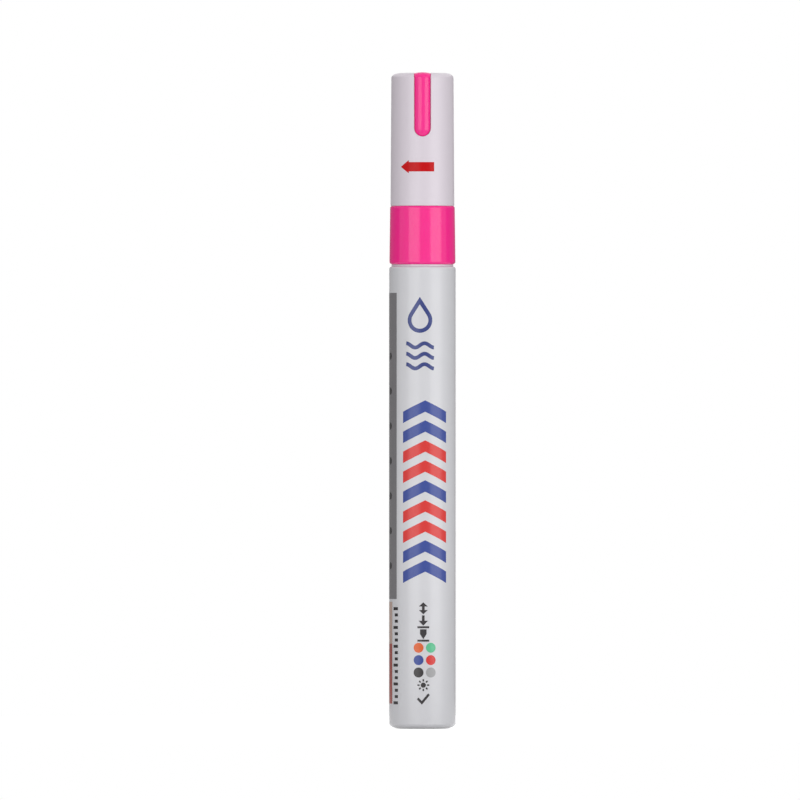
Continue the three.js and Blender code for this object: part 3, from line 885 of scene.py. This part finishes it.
# Cap tongue. A strip of the same pink polypropylene as the collar, pressed into the cap's pocket.
# On the side its face is crowned like a half-round bar, with its edges set below the cap's surface.
# Over the crown it lies nearly flush. It shows the paint's colour from the front and from above.
sunk, crown_angle = 0.5, math.radians(40)
side_middle, side_rim = 0.3, -0.32
top_middle, top_rim = 0.12, -0.14
face_steps = 12
tongue_rings = [(half, -sunk, -sunk) for half in (0, tongue_half / 2, tongue_half)]
for k in range(face_steps + 1):
    slope = crown_angle * (1 - k / face_steps)
    arch = (math.cos(slope) - math.cos(crown_angle)) / (1 - math.cos(crown_angle))
    tongue_rings.append((tongue_half * math.sin(slope) / math.sin(crown_angle),
                         side_rim + (side_middle - side_rim) * arch,
                         top_rim + (top_middle - top_rim) * arch))
tongue = smoothed(tongue_shape("cap_tongue_strip", tongue_rings))
tongue.data.materials.append(pink_plastic)
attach(tongue, "cap")
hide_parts("cap_tongue")

# Cap liner. A soft natural polyethylene inner cap under the ceiling. Its tube seals on the holder's
# land, so that the nib doesn't dry out.
tube_bore, tube_radius, disc_radius = 3.75, 4.65, 5.52
liner_rim, disc_foot = 119.5, 135.7
liner = turned("cap_liner_seal", rounded([
    (0, disc_foot, 0),
    (tube_bore, disc_foot, 0.2),
    (tube_bore, liner_rim, 0.3),
    (tube_radius, liner_rim, 0.15),
    (tube_radius, disc_foot, 0.15),
    (disc_radius, disc_foot, 0.15),
    (disc_radius, cap_ceiling, 0.3),
    (0, cap_ceiling, 0),
]), sides=120)
liner.data.materials.append(natural_plastic)
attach(liner, "liner")
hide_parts("cap_liner")

# Printing on the cap: one plain red arrow that points round to the left. It is pad-printed on the
# cap's taper.
arrow_red = screen_ink("red_pad_ink", "#cc0a12", "#c4080f", specular=0.15)
arrow_height = 118.2
arrow_tip, head_back, arrow_end = -4.94, -2.98, 2.52
head_half, shaft_half = 1.38, 0.98
printed("print_arrow_red", [[
    (arrow_tip, arrow_height),
    (head_back, arrow_height - head_half),
    (head_back, arrow_height - shaft_half),
    (arrow_end, arrow_height - shaft_half),
    (arrow_end, arrow_height + shaft_half),
    (head_back, arrow_height + shaft_half),
    (head_back, arrow_height + head_half),
]], arrow_red, radius_at=cap_radius_at, body="cap")

# Studio. A pale matt table under the pen and a white surround, which the camera, gloss and metal
# see as plain white. The table keeps the pen's soft shadow.
white = (1, 1, 1, 1)
ambient, table_glow = 0.43, 0.62
table_radius, table_drop, table_sides = 170, 0.02, 64
rim = [2 * math.pi * k / table_sides for k in range(table_sides)]
floor = piece_from("studio_floor", [(table_radius * math.cos(angle), table_radius * math.sin(angle),
                                     -table_drop) for angle in rim], [list(range(table_sides))])


def seen_directly(tree):
    """A node that is 1 for what the camera, a reflection or clear plastic sees, and 0 for light."""
    ray = add_node(tree, "ShaderNodeLightPath")
    seen = add_node(tree, "ShaderNodeMath", {"operation": "MAXIMUM"},
                    {0: (ray, "Is Camera Ray"), 1: (ray, "Is Glossy Ray")})
    return add_node(tree, "ShaderNodeMath", {"operation": "MAXIMUM"},
                    {0: (seen, 0), 1: (ray, "Is Transmission Ray")})


# Pale matt table: even, and lifted to white where it is seen.
pale, tree = empty_material("pale_studio_floor")
glow = add_node(tree, "ShaderNodeMath", {"operation": "MULTIPLY", 1: table_glow},
                {0: (seen_directly(tree), 0)})
matt = add_node(tree, "ShaderNodeBsdfDiffuse", {"Color": colour("#e6e6e6")})
light = add_node(tree, "ShaderNodeEmission", {"Color": white}, {"Strength": (glow, 0)})
both = add_node(tree, "ShaderNodeAddShader", {}, {0: (matt, 0), 1: (light, 0)})
add_node(tree, "ShaderNodeOutputMaterial", {}, {"Surface": (both, 0)})
floor.data.materials.append(pale)

world = bpy.data.worlds.new("white_studio")
bpy.context.scene.world = world
world.use_nodes = True
tree = world.node_tree
tree.nodes.clear()
level = add_node(tree, "ShaderNodeMapRange", {"To Min": ambient, "To Max": 1.0},
                 {"Value": (seen_directly(tree), 0)})
sky = add_node(tree, "ShaderNodeBackground", {"Color": white}, {"Strength": (level, 0)})
add_node(tree, "ShaderNodeOutputWorld", {}, {"Surface": (sky, 0)})

pen_middle = 0.069


def softbox(name, azimuth, elevation, distance, width, height, brightness, in_gloss=True):
    """A soft lamp that faces the pen's middle. Azimuth is 0 at the front and 90 on the right, and
    brightness 1 is as bright as a white surround."""
    lamp = bpy.data.lights.new(name, "AREA")
    lamp.shape = "RECTANGLE"
    lamp.size, lamp.size_y = width, height
    lamp.energy = brightness * math.pi * width * height
    stand = bpy.data.objects.new(name, lamp)
    bpy.context.scene.collection.objects.link(stand)
    turn, rise = math.radians(azimuth), math.radians(elevation)
    away = Vector((math.sin(turn) * math.cos(rise), -math.cos(turn) * math.cos(rise),
                   math.sin(rise)))
    stand.location = Vector((0, 0, pen_middle)) + away * distance
    stand.rotation_mode = "QUATERNION"
    stand.rotation_quaternion = away.to_track_quat("Z", "Y")
    stand.visible_camera = False
    stand.visible_glossy = in_gloss


softbox("left_softbox", -29.5, 0, 1.0, 0.71, 0.5, 1.7)
softbox("right_softbox", 48.5, 0, 1.0, 0.74, 0.5, 2.0)
softbox("front_fill", 20, 30, 1.0, 0.6, 0.6, 1.65, in_gloss=False)
softbox("rear_fill", 180, 15, 1.1, 1.0, 0.8, 2.0, in_gloss=False)
softbox("top_fill", 0, 82, 1.0, 0.7, 0.7, 1.2, in_gloss=False)

# Flags: two grey felt panels behind the pen's sides. A studio hangs them to draw a fine darker line
# down the edges of a white object on a white ground.
flag_half, flag_tall, flag_reach = 480, 300, 0.6


def flag(name, azimuth, shade):
    """An upright panel that faces the pen. Only its gloss sees it."""
    panel = piece_from(name, [(-flag_half, 0, -flag_tall), (flag_half, 0, -flag_tall),
                              (flag_half, 0, flag_tall), (-flag_half, 0, flag_tall)],
                       [(0, 1, 2, 3)])
    turn = math.radians(azimuth)
    panel.location = (flag_reach * math.sin(turn), -flag_reach * math.cos(turn), pen_middle)
    panel.rotation_euler = (0, 0, turn)
    for sight in ("camera", "diffuse", "transmission", "volume_scatter", "shadow"):
        setattr(panel, "visible_" + sight, False)
    panel.data.materials.append(shade)


# Grey felt: dead matt and even.
felt, tree = empty_material("grey_felt")
matt = add_node(tree, "ShaderNodeBsdfDiffuse", {"Color": colour("#a4a4a4")})
add_node(tree, "ShaderNodeOutputMaterial", {}, {"Surface": (matt, 0)})
flag("left_flag", -127, felt)
flag("right_flag", 130, felt)

# Camera. Straight on and level with the pen's middle, with a long lens, as in the photograph.
camera_side, camera_distance, camera_height = -0.00472, 4.0, 0.06917
camera = bpy.data.objects.new("camera", bpy.data.cameras.new("camera"))
bpy.context.scene.collection.objects.link(camera)
camera.data.sensor_width, camera.data.lens = 36, 855
camera.data.clip_start, camera.data.clip_end = 0.05, 20
camera.location = (camera_side, -camera_distance, camera_height)
camera.rotation_euler = (math.pi / 2, 0, 0)
bpy.context.scene.camera = camera
bpy.context.scene.view_settings.view_transform = "Standard"
